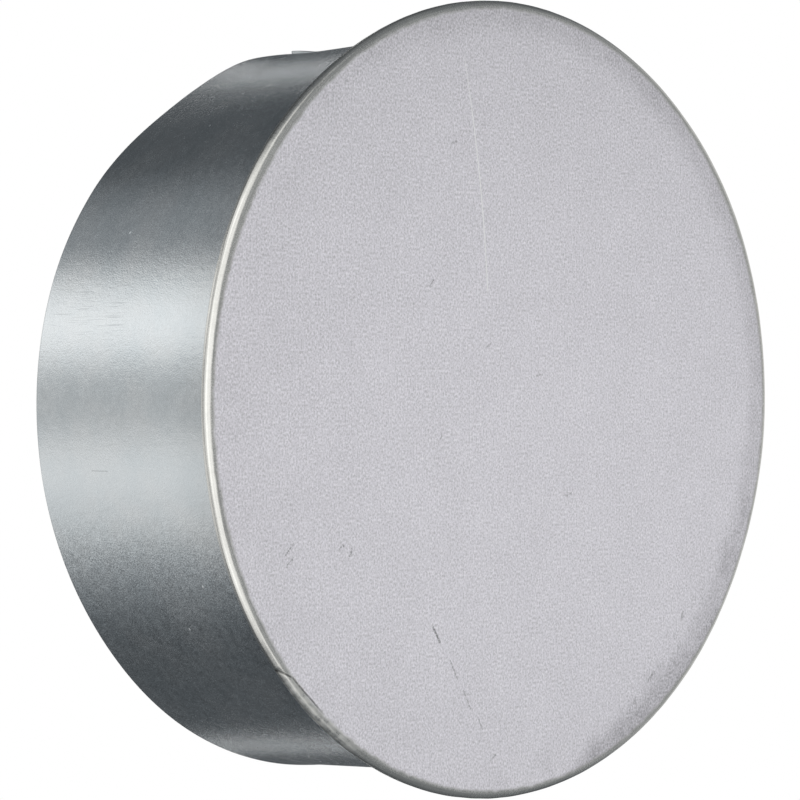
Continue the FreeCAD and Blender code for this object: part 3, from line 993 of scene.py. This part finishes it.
def build_world():
    """White to the camera, and a ring of soft lights round the object for everything else."""
    world = bpy.data.worlds.new("studio")
    bpy.context.scene.world = world
    world.use_nodes = True
    graph = Graph(world.node_tree)
    direction = graph.add("ShaderNodeTexCoord").outputs["Generated"]
    frontness = graph.dot(direction, (0.0, -1.0, 0.0))
    height = graph.math("ABSOLUTE", graph.dot(direction, (0.0, 0.0, 1.0)))
    level = graph.remap(height, 0.50, 0.15)
    left = graph.remap(graph.dot(direction, LEFT_DIRECTION), 0.15, 0.75, 0.0, LEFT_FILL)
    front = graph.remap(frontness, 0.0, 0.5, 0.0, LEVEL_FILL)
    light = graph.remap(frontness, -0.5, 0.6, REAR_FILL, FRONT_FILL)
    light = graph.math("ADD", light, graph.product(level, graph.math("ADD", left, front)))
    for side, rise, half_width, half_height, border, strength in SOFTBOXES:
        turn, lift = math.radians(side), math.radians(rise)
        sideways = Vector((-math.cos(turn), math.sin(turn), 0.0))
        towards = Vector((-math.sin(turn), -math.cos(turn), 0.0)) * math.cos(lift)
        towards.z = math.sin(lift)
        upwards = sideways.cross(towards)
        facing = graph.dot(direction, towards)
        across = graph.math("ARCTAN2", graph.dot(direction, sideways), facing)
        above = graph.math("ARCSINE", graph.dot(direction, upwards))
        glow = strength
        for value, half in ((across, half_width), (above, half_height)):
            inner, outer = math.radians(half - border), math.radians(half + border)
            glow = graph.product(graph.remap(graph.math("ABSOLUTE", value), outer, inner), glow)
        light = graph.math("ADD", light, glow)
    lamp_share = graph.remap(light, 0.12, 0.6, 0.0, 1.0, "LINEAR")
    colour = graph.blend(lamp_share, FILL_COLOUR, LAMP_COLOUR)
    studio = graph.add("ShaderNodeBackground", {"Color": colour, "Strength": light})
    backdrop = graph.add("ShaderNodeBackground", {"Color": (1.0, 1.0, 1.0, 1.0), "Strength": 1.0})
    seen = graph.add("ShaderNodeLightPath").outputs["Is Camera Ray"]
    chosen = graph.add("ShaderNodeMixShader")
    graph.put(chosen.inputs[0], seen)
    graph.put(chosen.inputs[1], studio.outputs[0])
    graph.put(chosen.inputs[2], backdrop.outputs[0])
    output = graph.add("ShaderNodeOutputWorld")
    graph.put(output.inputs["Surface"], chosen.outputs[0])


# The floor, in millimetres.
FLOOR_DROP = 600.0
FLOOR_RADIUS = 4000.0


def build_floor():
    """A pale floor well below the cap, which fades into the backdrop."""
    ring = 96
    points = [Vector((0.0, 0.0, -FLOOR_DROP))]
    for i in range(ring):
        turn = 2 * math.pi * i / ring
        x, y = FLOOR_RADIUS * math.cos(turn), FLOOR_RADIUS * math.sin(turn)
        points.append(Vector((x, y, -FLOOR_DROP)))
    faces = [(0, 1 + i, 1 + (i + 1) % ring) for i in range(ring)]
    material, graph = new_material("pale_floor")
    reach = graph.length(graph.stretch(graph.position(), (1.0, 1.0, 0.0)))
    shade = graph.remap(reach, 300.0, FLOOR_RADIUS * 0.7, 0.88, 1.0)
    glow = graph.add("ShaderNodeEmission", {"Color": (1.0, 1.0, 1.0, 1.0), "Strength": shade})
    output = graph.add("ShaderNodeOutputMaterial")
    graph.put(output.inputs["Surface"], glow.outputs[0])
    floor = finish_mesh("studio_floor", points, faces, material)
    floor.visible_glossy = False
    floor.visible_diffuse = False
    floor.visible_shadow = False


# The camera: its place in metres, the angles it looks at in degrees, and its lens.
CAMERA_PLACE = (-0.40299, -0.39535, 0.00518)
CAMERA_TURN = 43.84
CAMERA_RISE = -0.53
SENSOR_WIDTH = 36.0
FOCAL_LENGTH = 153.0


def build_camera():
    """Nearly level with the cap, 44 degrees round from straight in front towards -X."""
    camera = bpy.data.objects.new("camera", bpy.data.cameras.new("camera"))
    bpy.context.scene.collection.objects.link(camera)
    turn, rise = math.radians(CAMERA_TURN), math.radians(CAMERA_RISE)
    ahead = Vector((math.sin(turn), math.cos(turn), 0.0)) * math.cos(rise)
    ahead.z = math.sin(rise)
    camera.location = CAMERA_PLACE
    camera.rotation_mode = "QUATERNION"
    camera.rotation_quaternion = ahead.to_track_quat("-Z", "Y")
    camera.data.sensor_width = SENSOR_WIDTH
    camera.data.lens = FOCAL_LENGTH
    camera.data.clip_start = 0.01
    camera.data.clip_end = 20.0
    bpy.context.scene.camera = camera


build_world()
build_floor()
build_camera()
bpy.context.scene.view_settings.view_transform = "Standard"
